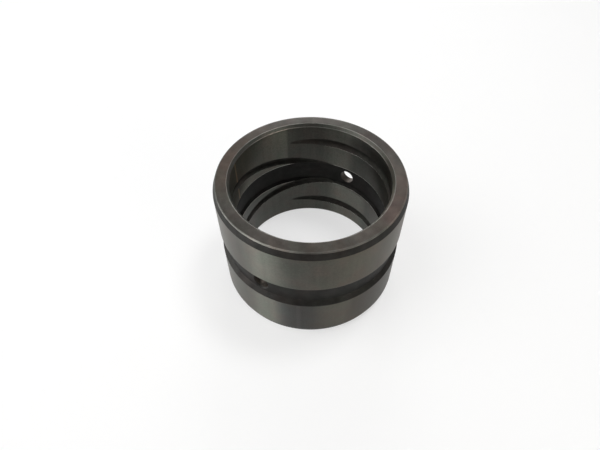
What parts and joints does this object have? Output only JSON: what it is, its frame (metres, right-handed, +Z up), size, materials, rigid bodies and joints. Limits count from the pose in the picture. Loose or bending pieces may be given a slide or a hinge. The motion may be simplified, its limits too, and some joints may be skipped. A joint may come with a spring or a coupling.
{
  "type": "bushing",
  "caption": "Hardened steel pin bushing: plain sleeve with tapered ends, an outer grease groove, a ring groove in the bore and spiral oil grooves towards both ends.",
  "frame": {"origin": "centre of the bore at the bottom end face, on which the sleeve stands", "axes": "+Z up along the bore; both ends are alike, and the oil holes lie on the Y axis"},
  "size_m": [0.086, 0.086, 0.062],
  "materials": {
    "steel": "ground lands, blackened grooves and end faces"
  },
  "bodies": {
    "root": {"bushing": "steel"}
  },
  "joints": []
}
